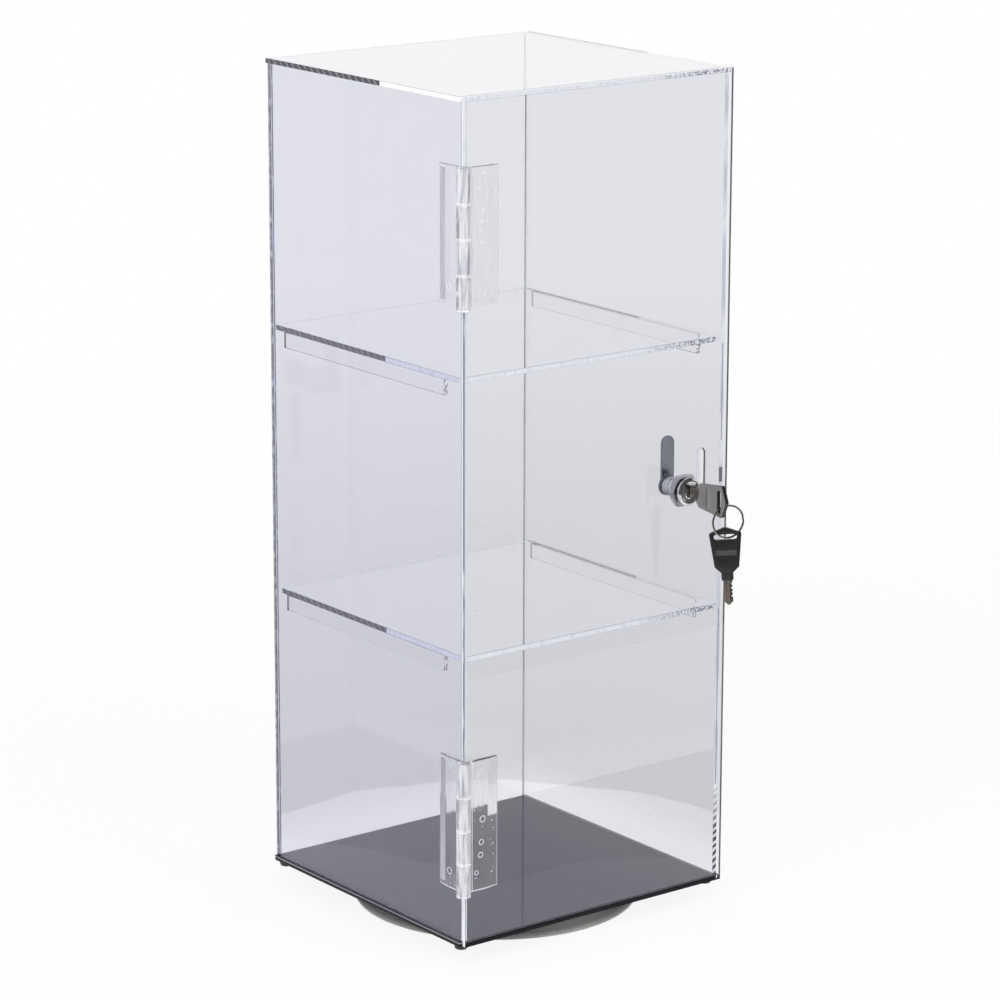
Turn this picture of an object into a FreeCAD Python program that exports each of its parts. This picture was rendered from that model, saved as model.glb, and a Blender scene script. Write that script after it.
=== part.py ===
import FreeCAD, Part
import math
import os

from FreeCAD import Vector

# Rotating display case: a clear acrylic tower with a locking door, on a turntable.
# Millimetres. Z is up, and the origin is on the turntable's axis at the surface it stands on.
# The door is the -Y face. Its hinges are at -X and its lock is at +X.

# Case
case_width = 191.6
case_depth = 191.6
case_height = 494.0
wall_sheet = 3.0
top_sheet = 3.0
base_sheet = 3.5
edge_overhang = 1.5
overrun = 1.0

# Shelves and the cleats that carry them
shelf_sheet = 3.2
shelf_depth = 181.0
shelf_side_gap = 0.2
lower_shelf_height = 171.0
upper_shelf_height = 332.3
lower_shelf_setback = 3.6
upper_shelf_setback = 0.1
cleat_sheet = 3.0
cleat_height = 9.5
cleat_length = 158.0
cleat_back_gap = 9.0

# Door
door_sheet = 3.0
door_gap = 0.3
door_hinge_inset = 0.3
door_bottom_gap = 0.4
door_lock_overhang = 1.8

# Hinges: one moulding serves as both leaves
hinge_length = 80.0
knuckle_count = 4
knuckle_gap = 0.3
barrel_radius = 4.2
pin_radius = 1.6
pin_clearance = 0.06
leaf_reach = 22.2
leaf_thickness = 2.8
leaf_edge_thickness = 1.3
leaf_bevel = 8.0
leaf_end_inset = 0.9
leaf_barrel_gap = 0.6
lower_hinge_height = 34.0
upper_hinge_top_gap = 37.8

# Cam lock
lock_edge_distance = 30.1
lock_height = 247.0
head_radius = 8.35
head_thickness = 2.5
head_bevel = 1.3
head_recess = 0.7
head_rim = 1.6
lock_body_radius = 5.5
lock_body_length = 19.2
lock_hole_clearance = 0.15
nut_across_flats = 18.0
nut_thickness = 4.5
nut_bevel = 0.8
nut_clearance = 0.06
plug_radius = 4.25
plug_clearance = 0.05
plug_tail = 5.0
tail_clearance = 0.05
cam_thickness = 1.8
cam_gap = 0.3
cam_width = 9.1
cam_reach = 30.0
cam_hub_radius = 6.0
screw_radius = 1.5
screw_head_radius = 3.6
screw_head_height = 2.0
screw_length = 7.0
screw_slot_width = 0.9
screw_slot_depth = 0.9

# Slot in the side panel that the cam turns into
slot_width = 5.8
slot_above_lock = 19.0
slot_below_lock = 6.0

# Keys: a steel blade in a moulded head
key_head_thickness = 2.6
key_neck_width = 7.0
key_neck_length = 4.7
key_shoulder_length = 3.5
key_shoulder_width = 14.4
key_body_length = 20.1
key_top_width = 19.0
key_apex_rise = 3.7
key_corner_radius = 0.8
key_slot_width = 3.4
key_slot_length = 13.6
key_slot_inset = 5.9
key_recess_width = 12.3
key_recess_height = 3.4
key_recess_depth = 0.4
key_recess_inset = 15.5
blade_width = 5.2
blade_thickness = 1.6
blade_length = 15.0
blade_tang = 12.0
blade_tip = 2.2
blade_groove_width = 1.4
blade_groove_depth = 0.35
blade_groove_setback = 1.0
tooth_pitch = 2.4
tooth_half_width = 0.9
tooth_depths = (0.9, 1.4, 0.7, 1.2)
keyway_clearance = 0.15
key_stop_gap = 0.8

# Ring that joins the two keys, and how it and the spare key hang
ring_radius = 9.6
ring_wire_width = 1.1
ring_coil_thickness = 0.55
ring_coil_count = 2
ring_open_deg = 9.0
ring_turn_deg = 16.5
ring_pass_deg = 31.0
ring_seat = 2.5
spare_turn_deg = 41.0
spare_lean_deg = 4.0
spare_seat = 2.3
spare_slide = 1.4

# Turntable
turntable_height = 14.0
rim_radius = 86.0
rim_edge = 1.2
rim_bevel = 1.6
rim_bevel_rise = 1.3
deck_radius = 62.0
deck_height = 5.6
foot_pad_radius = 68.0
foot_pad_thickness = 1.0
upper_plate_radius = 60.0
upper_plate_gauge = 2.0
hub_radius = 12.0
hub_gap = 0.3
glide_circle_radius = 48.0
glide_pad_radius = 4.5
glide_pad_count = 4
pivot_radius = 5.0
pivot_head_radius = 8.0
pivot_head_thickness = 1.2
pivot_clearance = 0.08
tape_radius = 57.0
tape_thickness = 1.0

# Bumpers under the corners of the base
bumper_radius = 4.25
bumper_height = 3.0
bumper_taper = 0.7
bumper_edge_gap = 0.8

# Places that follow from the sizes above
left = -case_width / 2
right = case_width / 2
front = -case_depth / 2
back = case_depth / 2
base_bottom = turntable_height
base_top = base_bottom + base_sheet
case_top = base_bottom + case_height
roof_bottom = case_top - top_sheet
wall_front = front + door_sheet + door_gap
hinge_x = left - barrel_radius
hinge_y = front - barrel_radius
upper_hinge_height = case_height - upper_hinge_top_gap - hinge_length
lock_x = right + door_lock_overhang - lock_edge_distance
lock_z = base_bottom + lock_height
head_front = front - head_thickness
body_end = front + lock_body_length
cam_front = body_end + cam_gap
cam_back = cam_front + cam_thickness
key_stop = head_front - key_stop_gap
key_head_length = key_neck_length + key_shoulder_length + key_body_length + key_apex_rise
key_slot_place = key_head_length - key_slot_inset
tape_bottom = turntable_height - tape_thickness
upper_plate_bottom = tape_bottom - upper_plate_gauge
hub_bottom = deck_height + hub_gap


def box(x0, x1, y0, y1, z0, z1):
    return Part.makeBox(x1 - x0, y1 - y0, z1 - z0, Vector(x0, y0, z0))


def prism(points, start, height):
    """A solid on the outline points in XY, from Z = start upwards."""
    outline = [Vector(x, y, start) for x, y in points]
    face = Part.Face(Part.makePolygon(outline + outline[:1]))
    return face.extrude(Vector(0, 0, height))


def turned(points):
    """A solid turned round Z from the outline points of radius and height."""
    outline = [Vector(r, 0, z) for r, z in points]
    face = Part.Face(Part.makePolygon(outline + outline[:1]))
    return face.revolve(Vector(0, 0, 0), Vector(0, 0, 1), 360)


def disc(radius, z0, z1):
    return Part.makeCylinder(radius, z1 - z0, Vector(0, 0, z0))


def tube(outer, inner, z0, z1):
    return disc(outer, z0, z1).cut(disc(inner, z0 - overrun, z1 + overrun))


def rounded_slot(length, width, start, height):
    """A bar with round ends, long in Y and centred on Z."""
    straight = length - width
    bar = box(-width / 2, width / 2, -straight / 2, straight / 2, start, start + height)
    for side in (-1, 1):
        bar = bar.fuse(Part.makeCylinder(width / 2, height, Vector(0, side * straight / 2, start)))
    return bar.removeSplitter()


def placed(shape, origin, x_axis, y_axis):
    """Moves a shape so that its own X and Y run along the given directions."""
    z_axis = x_axis.cross(y_axis)
    copy = shape.copy()
    copy.Placement = FreeCAD.Placement(origin, FreeCAD.Rotation(x_axis, y_axis, z_axis, "XYZ"))
    return copy


def along_lock(shape):
    """Moves a shape turned round Z at the door's face onto the lock's axis, its +Z to the inside."""
    return placed(shape, Vector(lock_x, front, lock_z), Vector(1, 0, 0), Vector(0, 0, -1))


# Turntable


def lower_plate():
    """A moulded dish: a flat deck, a long slope and a bevelled rim that stops above the table."""
    rim_top = foot_pad_thickness + rim_edge
    plate = turned(
        [
            (0, foot_pad_thickness),
            (rim_radius, foot_pad_thickness),
            (rim_radius, rim_top),
            (rim_radius - rim_bevel, rim_top + rim_bevel_rise),
            (deck_radius, deck_height),
            (0, deck_height),
        ]
    )
    return plate.cut(disc(pivot_radius, foot_pad_thickness - overrun, deck_height + overrun))


def foot_pad():
    return disc(foot_pad_radius, 0, foot_pad_thickness)


def glide_pads():
    """The plain bearing: low buttons on the lower plate's deck that carry the upper plate."""
    pad = disc(glide_pad_radius, deck_height, upper_plate_bottom)
    pads = []
    for index in range(glide_pad_count):
        turn = 2 * math.pi * index / glide_pad_count
        place = Vector(math.cos(turn), math.sin(turn), 0) * glide_circle_radius
        pads.append(pad.translated(place))
    return Part.makeCompound(pads)


def upper_plate():
    """A disc whose hub comes down to the lower plate and turns on the pivot."""
    plate = turned(
        [
            (0, hub_bottom),
            (hub_radius, hub_bottom),
            (hub_radius, upper_plate_bottom),
            (upper_plate_radius, upper_plate_bottom),
            (upper_plate_radius, tape_bottom),
            (0, tape_bottom),
        ]
    )
    recess_floor = tape_bottom - pivot_head_thickness - pivot_clearance * 2
    bore = disc(pivot_radius + pivot_clearance, hub_bottom - overrun, tape_bottom + overrun)
    recess = disc(pivot_head_radius + pivot_clearance, recess_floor, tape_bottom + overrun)
    return plate.cut(bore).cut(recess)


def pivot_pin():
    """Fixed in the lower plate. Its head keeps the upper plate down."""
    head_top = tape_bottom - pivot_clearance
    head_bottom = head_top - pivot_head_thickness
    return turned(
        [
            (0, foot_pad_thickness),
            (pivot_radius, foot_pad_thickness),
            (pivot_radius, head_bottom),
            (pivot_head_radius, head_bottom),
            (pivot_head_radius, head_top),
            (0, head_top),
        ]
    )


def mounting_tape():
    return disc(tape_radius, tape_bottom, turntable_height)


# Case


def base_panel():
    return box(left - edge_overhang, right + edge_overhang, wall_front, back, base_bottom, base_top)


def top_panel():
    return box(left - edge_overhang, right + edge_overhang, wall_front, back, roof_bottom, case_top)


def corner_bumpers():
    inset = bumper_radius + bumper_edge_gap
    foot = Vector(0, 0, base_bottom - bumper_height)
    bumper = Part.makeCone(bumper_radius - bumper_taper, bumper_radius, bumper_height, foot)
    bumpers = []
    for x in (left - edge_overhang + inset, right + edge_overhang - inset):
        for y in (wall_front + inset, back - inset):
            bumpers.append(bumper.translated(Vector(x, y, 0)))
    return Part.makeCompound(bumpers)


def left_panel():
    return box(left, left + wall_sheet, wall_front, back, base_top, roof_bottom)


def right_panel():
    panel = box(right - wall_sheet, right, wall_front, back, base_top, roof_bottom)
    length = slot_above_lock + slot_below_lock
    middle = lock_z + (slot_above_lock - slot_below_lock) / 2
    cutter = rounded_slot(length, slot_width, -overrun, wall_sheet + overrun * 2)
    start = Vector(right - wall_sheet, (cam_front + cam_back) / 2, middle)
    return panel.cut(placed(cutter, start, Vector(0, 1, 0), Vector(0, 0, 1)))


def back_panel():
    return box(left + wall_sheet, right - wall_sheet, back - wall_sheet, back, base_top, roof_bottom)


def shelf(height, setback):
    low = base_bottom + height
    rear = back - wall_sheet - setback
    side = wall_sheet + shelf_side_gap
    return box(left + side, right - side, rear - shelf_depth, rear, low, low + shelf_sheet)


def cleat(side, height):
    """side is -1 for the left wall and 1 for the right one."""
    wall_face = side * (right - wall_sheet)
    inner_face = wall_face - side * cleat_sheet
    rear = back - wall_sheet - cleat_back_gap
    top = base_bottom + height
    x0, x1 = sorted((wall_face, inner_face))
    return box(x0, x1, rear - cleat_length, rear, top - cleat_height, top)


# Hinges


def hinge_leaf():
    """Built round its pin axis: the plate runs along +X, its glued face is at Y = barrel_radius,
    and it owns every second knuckle from the lowest."""
    step = hinge_length / knuckle_count
    front_face = barrel_radius - leaf_thickness
    edge_face = barrel_radius - leaf_edge_thickness
    tip = barrel_radius + leaf_reach
    start = barrel_radius + leaf_barrel_gap
    profile = [
        (start, front_face),
        (tip - leaf_bevel, front_face),
        (tip, edge_face),
        (tip, barrel_radius),
        (start, barrel_radius),
    ]
    leaf = prism(profile, leaf_end_inset, hinge_length - leaf_end_inset * 2)
    for index in range(0, knuckle_count, 2):
        low = index * step + knuckle_gap / 2
        height = step - knuckle_gap
        if index == 0:
            low, height = 0, step - knuckle_gap / 2
        leaf = leaf.fuse(Part.makeCylinder(barrel_radius, height, Vector(0, 0, low)))
        web_low = max(low, leaf_end_inset)
        web = box(0, start + overrun, front_face, barrel_radius, web_low, low + height)
        leaf = leaf.fuse(web)
    bore = disc(pin_radius + pin_clearance, -overrun, hinge_length + overrun)
    return leaf.removeSplitter().cut(bore)


def fixed_leaf(height):
    low = Vector(hinge_x, hinge_y, base_bottom + height)
    rotated = hinge_leaf()
    rotated.rotate(Vector(0, 0, 0), Vector(1, 1, 0), 180)
    # the moulding is turned end for end, so its lowest knuckle comes out on top
    rotated.translate(low + Vector(0, 0, hinge_length))
    return rotated


def door_leaf(height):
    return hinge_leaf().translated(Vector(hinge_x, hinge_y, base_bottom + height))


def hinge_pin(height):
    return Part.makeCylinder(pin_radius, hinge_length, Vector(hinge_x, hinge_y, base_bottom + height))


# Door and lock


def door_panel():
    low = base_bottom + door_bottom_gap
    hinge_edge = left + door_hinge_inset
    panel = box(hinge_edge, right + door_lock_overhang, front, front + door_sheet, low, case_top)
    radius = lock_body_radius + lock_hole_clearance
    hole = along_lock(disc(radius, -overrun, door_sheet + overrun))
    return panel.cut(hole)


def lock_body():
    bore = plug_radius + plug_clearance
    face = -head_thickness
    shell = turned(
        [
            (bore, face + head_recess),
            (head_radius - head_rim - head_bevel, face + head_recess),
            (head_radius - head_bevel - head_recess, face),
            (head_radius - head_bevel, face),
            (head_radius, face + head_bevel),
            (head_radius, 0),
            (lock_body_radius, 0),
            (lock_body_radius, lock_body_length),
            (bore, lock_body_length),
        ]
    )
    return along_lock(shell)


def hexagon(across_flats):
    corner = across_flats / math.sqrt(3)
    return [(corner * math.cos(math.pi * k / 3), corner * math.sin(math.pi * k / 3)) for k in range(6)]


def lock_nut():
    nut = prism(hexagon(nut_across_flats), door_sheet, nut_thickness)
    far = door_sheet + nut_thickness
    corner = nut_across_flats / math.sqrt(3)
    flat = nut_across_flats / 2
    bevel = [(corner, door_sheet), (corner, far - nut_bevel), (flat, far)]
    crown = turned([(0, door_sheet)] + bevel + [(0, far)])
    nut = nut.common(crown)
    nut = nut.cut(disc(lock_body_radius + nut_clearance, 0, far + overrun))
    # one corner of the hexagon points down
    nut.rotate(Vector(0, 0, 0), Vector(0, 0, 1), 30)
    return along_lock(nut)


def lock_plug():
    shoulder = lock_body_length + cam_gap
    plug = disc(plug_radius, head_recess - head_thickness, shoulder)
    half = plug_tail / 2
    tail = box(-half, half, -half, half, shoulder, shoulder + cam_thickness)
    half_thick = blade_thickness / 2 + keyway_clearance
    half_wide = blade_width / 2 + keyway_clearance
    deep = blade_length - head_thickness - key_stop_gap + keyway_clearance
    keyway = box(-half_thick, half_thick, -half_wide, half_wide, -head_thickness, deep)
    seat = shoulder + cam_thickness
    hole = disc(screw_radius, seat - screw_length, seat + overrun)
    return along_lock(plug.fuse(tail).cut(keyway).cut(hole))


def lock_cam():
    """The cam points up, which is unlocked. A quarter turn takes its end into the side panel's slot."""
    start = lock_body_length + cam_gap
    tip = cam_reach - cam_width / 2
    cam = Part.makeCylinder(cam_hub_radius, cam_thickness, Vector(0, 0, start))
    cam = cam.fuse(box(-cam_width / 2, cam_width / 2, -tip, 0, start, start + cam_thickness))
    cam = cam.fuse(Part.makeCylinder(cam_width / 2, cam_thickness, Vector(0, -tip, start)))
    half = plug_tail / 2 + tail_clearance
    square = box(-half, half, -half, half, start - overrun, start + cam_thickness + overrun)
    return along_lock(cam.removeSplitter().cut(square))


def cam_screw():
    seat = lock_body_length + cam_gap + cam_thickness
    top = seat + screw_head_height
    screw = disc(screw_radius, seat - screw_length, seat).fuse(disc(screw_head_radius, seat, top))
    half = screw_slot_width / 2
    reach = screw_head_radius + overrun
    driver_slot = box(-half, half, -reach, reach, top - screw_slot_depth, top + overrun)
    return along_lock(screw.cut(driver_slot))


# Keys, built flat: X runs from the neck to the apex, Y across, Z through the thickness


def key_head():
    shoulder = key_neck_length + key_shoulder_length
    corner = shoulder + key_body_length
    half = [
        (0, key_neck_width / 2),
        (key_neck_length, key_neck_width / 2),
        (shoulder, key_shoulder_width / 2),
        (corner, key_top_width / 2),
    ]
    outline = half + [(key_head_length, 0)] + [(x, -y) for x, y in reversed(half)]
    head = prism(outline, -key_head_thickness / 2, key_head_thickness)
    upright = [edge for edge in head.Edges if edge.BoundBox.ZLength > key_head_thickness / 2]
    head = head.makeFillet(key_corner_radius, upright)
    slot = rounded_slot(key_slot_length, key_slot_width, -key_head_thickness, key_head_thickness * 2)
    head = head.cut(slot.translated(Vector(key_slot_place, 0, 0)))
    middle = key_head_length - key_recess_inset
    for low in (-key_head_thickness / 2 - overrun, key_head_thickness / 2 - key_recess_depth):
        recess = box(
            middle - key_recess_height / 2,
            middle + key_recess_height / 2,
            -key_recess_width / 2,
            key_recess_width / 2,
            low,
            low + key_recess_depth + overrun,
        )
        head = head.cut(recess)
    tang = box(0, blade_tang, -blade_width / 2, blade_width / 2, -blade_thickness / 2, blade_thickness / 2)
    return head.cut(tang)


def key_blade():
    half = blade_width / 2
    outline = [(blade_tang, -half), (blade_tang, half)]
    for index, depth in enumerate(tooth_depths):
        place = -tooth_pitch * (index + 1)
        outline += [
            (place + tooth_half_width, half),
            (place, half - depth),
            (place - tooth_half_width, half),
        ]
    outline += [
        (blade_tip - blade_length, half),
        (-blade_length, half - blade_tip),
        (-blade_length, blade_tip - half),
        (blade_tip - blade_length, -half),
    ]
    blade = prism(outline, -blade_thickness / 2, blade_thickness)
    for face in (-1, 1):
        low = face * blade_thickness / 2 - blade_groove_depth
        groove = box(
            -blade_length - overrun,
            -blade_groove_setback,
            -blade_groove_width / 2,
            blade_groove_width / 2,
            low,
            low + blade_groove_depth * 2,
        )
        blade = blade.cut(groove)
    return blade


def in_lock(shape):
    """A key in the lock: the head stands upright and points away from the door."""
    return placed(shape, Vector(lock_x, key_stop, lock_z), Vector(0, -1, 0), Vector(0, 0, -1))


ring_turn = math.radians(ring_turn_deg)
ring_pass = math.radians(ring_pass_deg)
ring_across = Vector(math.cos(ring_turn), -math.sin(ring_turn), 0)
ring_through = Vector(lock_x, key_stop - key_slot_place, lock_z - key_slot_length / 2 + ring_seat)
ring_drop = Vector(0, 0, -ring_radius * math.cos(ring_pass))
ring_centre = ring_through + ring_across * (ring_radius * math.sin(ring_pass)) + ring_drop
ring_foot = ring_centre - Vector(0, 0, ring_radius)


def key_ring():
    """A split ring of flat wire: two coils, each with its own open end beside the other's."""
    inner = ring_radius - ring_wire_width / 2
    outer = ring_radius + ring_wire_width / 2
    thickness = ring_coil_thickness * ring_coil_count
    ring = tube(outer, inner, -thickness / 2, thickness / 2)
    for coil in range(ring_coil_count):
        low = coil * ring_coil_thickness - thickness / 2
        gap = Part.makeCylinder(
            outer + overrun, ring_coil_thickness, Vector(0, 0, low), Vector(0, 0, 1), ring_open_deg
        )
        gap.rotate(Vector(0, 0, 0), Vector(0, 0, 1), ring_open_deg * (2 * coil - 1))
        ring = ring.cut(gap)
    return placed(ring, ring_centre, ring_across, Vector(0, 0, 1))


def on_ring(shape):
    """The spare key, hung by the bar beyond its slot from the foot of the ring."""
    turn = math.radians(spare_turn_deg)
    lean = math.radians(spare_lean_deg)
    across = Vector(math.cos(turn), -math.sin(turn), 0)
    up = Vector(0, 0, math.cos(lean)) - across * math.sin(lean)
    hang = key_slot_place + key_slot_width / 2 - spare_seat
    side = across * math.cos(lean) + Vector(0, 0, math.sin(lean))
    return placed(shape, ring_foot - up * hang - side * spare_slide, up, side)


def build():
    levels = {"lower": lower_shelf_height, "upper": upper_shelf_height}
    setbacks = {"lower": lower_shelf_setback, "upper": upper_shelf_setback}
    hinges = {"lower": lower_hinge_height, "upper": upper_hinge_height}
    parts = {
        "foot_pad": foot_pad(),
        "turntable_lower_plate": lower_plate(),
        "pivot_pin": pivot_pin(),
        "glide_pads": glide_pads(),
        "turntable_upper_plate": upper_plate(),
        "mounting_tape": mounting_tape(),
        "base_panel": base_panel(),
        "corner_bumpers": corner_bumpers(),
        "left_panel": left_panel(),
        "right_panel": right_panel(),
        "back_panel": back_panel(),
        "top_panel": top_panel(),
        "door_panel": door_panel(),
        "lock_body": lock_body(),
        "lock_nut": lock_nut(),
        "lock_plug": lock_plug(),
        "lock_cam": lock_cam(),
        "cam_screw": cam_screw(),
        "inserted_key_head": in_lock(key_head()),
        "inserted_key_blade": in_lock(key_blade()),
        "key_ring": key_ring(),
        "spare_key_head": on_ring(key_head()),
        "spare_key_blade": on_ring(key_blade()),
    }
    for level, height in levels.items():
        parts[level + "_shelf"] = shelf(height, setbacks[level])
        parts[level + "_left_cleat"] = cleat(-1, height)
        parts[level + "_right_cleat"] = cleat(1, height)
    for level, height in hinges.items():
        parts[level + "_hinge_fixed_leaf"] = fixed_leaf(height)
        parts[level + "_hinge_door_leaf"] = door_leaf(height)
        parts[level + "_hinge_pin"] = hinge_pin(height)
    return parts


os.makedirs("parts", exist_ok=True)
for name, shape in build().items():
    shape.exportStep("parts/" + name + ".step")
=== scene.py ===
import math
import random

import bmesh
import bpy
from mathutils import Matrix, Vector


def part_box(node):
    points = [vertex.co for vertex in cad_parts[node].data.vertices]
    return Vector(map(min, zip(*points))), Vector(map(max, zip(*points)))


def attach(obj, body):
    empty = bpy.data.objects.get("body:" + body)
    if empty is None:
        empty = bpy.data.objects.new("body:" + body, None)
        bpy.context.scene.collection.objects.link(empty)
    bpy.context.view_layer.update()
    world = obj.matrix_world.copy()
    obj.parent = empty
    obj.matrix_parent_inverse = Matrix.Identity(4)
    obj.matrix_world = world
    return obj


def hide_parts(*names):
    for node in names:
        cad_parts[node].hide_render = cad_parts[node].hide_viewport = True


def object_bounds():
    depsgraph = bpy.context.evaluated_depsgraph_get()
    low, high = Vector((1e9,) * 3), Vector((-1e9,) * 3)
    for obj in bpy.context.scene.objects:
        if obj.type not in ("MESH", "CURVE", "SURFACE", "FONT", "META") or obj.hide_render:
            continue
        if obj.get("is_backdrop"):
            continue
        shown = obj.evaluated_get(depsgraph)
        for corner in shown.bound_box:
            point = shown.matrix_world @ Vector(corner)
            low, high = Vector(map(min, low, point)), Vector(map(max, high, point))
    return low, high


MM = 0.001
SEAM = 0.02 * MM  # a clear sheet is this much smaller on every side, so no two clear faces coincide
ARRIS = 0.25 * MM
ACRYLIC_IOR = 1.49
LEVELS = ("lower", "upper")

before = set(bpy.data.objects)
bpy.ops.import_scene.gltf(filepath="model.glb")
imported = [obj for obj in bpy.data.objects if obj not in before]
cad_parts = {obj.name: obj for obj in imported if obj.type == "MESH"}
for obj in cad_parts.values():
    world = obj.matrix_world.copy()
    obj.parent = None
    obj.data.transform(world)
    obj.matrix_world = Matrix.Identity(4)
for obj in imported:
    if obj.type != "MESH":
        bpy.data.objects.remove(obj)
scene = bpy.context.scene
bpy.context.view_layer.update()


# Places in the CAD that the marks and the pieces share


def middle_of(node_name):
    low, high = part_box(node_name)
    return (low + high) / 2


base_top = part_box("base_panel")[1].z
left_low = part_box("left_panel")[0]
door_low, door_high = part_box("door_panel")
hinge_tops = [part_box(level + "_hinge_pin")[1].z for level in LEVELS]
hinge_bottoms = [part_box(level + "_hinge_door_leaf")[0].z for level in LEVELS]
hinge_axis = middle_of("lower_hinge_pin")
barrel_radius = 4.2 * MM
lock_middle = middle_of("lock_body")
cam_low, cam_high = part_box("lock_cam")
slot_middle = ((cam_low.y + cam_high.y) / 2, lock_middle.z + 6.5 * MM)


# Meshes


def shade_smooth(bm, most_deg, flat=None):
    """Smooths edges that turn less than most_deg, apart from faces for which flat is true."""
    bmesh.ops.recalc_face_normals(bm, faces=bm.faces)
    most = math.radians(most_deg)
    for face in bm.faces:
        face.smooth = flat is None or not flat(face)
    for edge in bm.edges:
        soft = all(face.smooth for face in edge.link_faces)
        edge.smooth = soft and len(edge.link_faces) == 2 and edge.calc_face_angle() < most


def add_piece(name, bm, body, material, nodes=(), smooth_deg=None):
    """Makes a piece of the object from a bmesh, on a CAD body, in place of CAD nodes."""
    bmesh.ops.recalc_face_normals(bm, faces=bm.faces)
    if smooth_deg:
        shade_smooth(bm, smooth_deg)
    mesh = bpy.data.meshes.new(name)
    bm.to_mesh(mesh)
    bm.free()
    piece = bpy.data.objects.new(name, mesh)
    scene.collection.objects.link(piece)
    for one in material if isinstance(material, tuple) else (material,):
        mesh.materials.append(one)
    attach(piece, body)
    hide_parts(*nodes)


def bevel(bm, width, least_deg=30):
    """Rounds the edges that turn by more than least_deg."""
    bmesh.ops.recalc_face_normals(bm, faces=bm.faces)
    least = math.radians(least_deg)
    sharp = [e for e in bm.edges if len(e.link_faces) == 2 and e.calc_face_angle() > least]
    bmesh.ops.bevel(
        bm, geom=sharp, offset=width, segments=2, profile=0.5, affect="EDGES", clamp_overlap=True
    )


def block(low, high):
    bm = bmesh.new()
    matrix = Matrix.Translation((low + high) / 2) @ Matrix.Diagonal((*(high - low), 1))
    bmesh.ops.create_cube(bm, size=1, matrix=matrix)
    return bm


def pierced(low, high, thin, hole):
    """A sheet between two corners, with one hole given as points in the sheet's own plane."""
    a, b = [axis for axis in range(3) if axis != thin]
    corners = [(low[a], low[b]), (high[a], low[b]), (high[a], high[b]), (low[a], high[b])]
    bm = bmesh.new()
    rim = []
    for loop in (corners, hole):
        verts = []
        for u, v in loop:
            place = [0, 0, 0]
            place[a], place[b], place[thin] = u, v, low[thin]
            verts.append(bm.verts.new(place))
        rim += [bm.edges.new((verts[i - 1], verts[i])) for i in range(len(verts))]
    bmesh.ops.triangle_fill(bm, edges=rim, use_beauty=True, use_dissolve=False)
    made = bmesh.ops.extrude_face_region(bm, geom=list(bm.faces))
    move = Vector((0, 0, 0))
    move[thin] = high[thin] - low[thin]
    moved = [v for v in made["geom"] if isinstance(v, bmesh.types.BMVert)]
    bmesh.ops.translate(bm, verts=moved, vec=move)
    return bm


def ring_points(centre, radius, count):
    turns = [2 * math.pi * i / count for i in range(count)]
    return [(centre[0] + radius * math.cos(t), centre[1] + radius * math.sin(t)) for t in turns]


def slot_points(centre, width, length, count):
    """A round-ended slot, long in the second direction."""
    radius = width / 2
    straight = (length - width) / 2
    points = []
    for end, first in ((1, 0), (-1, math.pi)):
        middle = centre[1] + end * straight
        for i in range(count + 1):
            turn = first + math.pi * i / count
            points.append((centre[0] + radius * math.cos(turn), middle + radius * math.sin(turn)))
    return points


def in_mm(points):
    return [(radius * MM, height * MM) for radius, height in points]


def lathe(profile, matrix, count=64, closed=False):
    """Turns points of radius and height round Z, then places the result."""
    bm = bmesh.new()
    rings = []
    for radius, height in profile:
        if radius == 0:
            rings.append([bm.verts.new((0, 0, height))])
            continue
        ring = []
        for i in range(count):
            turn = 2 * math.pi * i / count
            place = (radius * math.cos(turn), radius * math.sin(turn), height)
            ring.append(bm.verts.new(place))
        rings.append(ring)
    pairs = list(zip(rings, rings[1:]))
    if closed:
        pairs.append((rings[-1], rings[0]))
    for one, two in pairs:
        for i in range(count):
            j = (i + 1) % count
            corners = [one[i % len(one)], one[j % len(one)], two[j % len(two)], two[i % len(two)]]
            bm.faces.new(list(dict.fromkeys(corners)))
    bmesh.ops.transform(bm, matrix=matrix, verts=bm.verts)
    return bm


def wire_ring(radius, half, matrix, count):
    """A ring of round wire. Its radius and half the wire's thickness are in millimetres."""
    turns = [math.pi * i / 4 for i in range(8)]
    section = [(radius + half * math.cos(t), half * math.sin(t)) for t in turns]
    return lathe(in_mm(section), matrix, count, closed=True)


def rounded(points, radius, steps=4):
    """Rounds every corner of an open outline by cutting it back along both runs."""
    out = [points[0]]
    for before, corner, after in zip(points, points[1:], points[2:]):
        here = Vector(corner)
        start = Vector(before) - here
        end = Vector(after) - here
        cut = min(radius, start.length / 2, end.length / 2)
        one = here + start.normalized() * cut
        two = here + end.normalized() * cut
        for i in range(steps + 1):
            t = i / steps
            out.append(tuple(one * (1 - t) ** 2 + here * 2 * t * (1 - t) + two * t**2))
    out.append(points[-1])
    return out


def join(bm, part):
    """Adds one bmesh to another, and frees it."""
    mesh = bpy.data.meshes.new("part")
    part.to_mesh(mesh)
    part.free()
    bm.from_mesh(mesh)
    bpy.data.meshes.remove(mesh)


def cad_copy(node_name):
    """The CAD node's own form as one clean mesh, with its flat faces joined up again."""
    bm = bmesh.new()
    bm.from_mesh(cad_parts[node_name].data)
    bmesh.ops.remove_doubles(bm, verts=bm.verts, dist=0.0005 * MM)
    bmesh.ops.dissolve_limit(
        bm,
        angle_limit=math.radians(0.5),
        verts=bm.verts,
        edges=bm.edges,
        use_dissolve_boundaries=False,
    )
    return bm


def pull_back(bm, axis, place, amount):
    """Moves the vertices in one plane along an axis, so that two clear pieces share no face."""
    for v in bm.verts:
        if abs(v.co[axis] - place) < 0.001 * MM:
            v.co[axis] += amount


# Shader nodes


def new_material(name):
    material = bpy.data.materials.new(name)
    material.use_nodes = True
    material.node_tree.nodes.clear()
    return material


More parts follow.
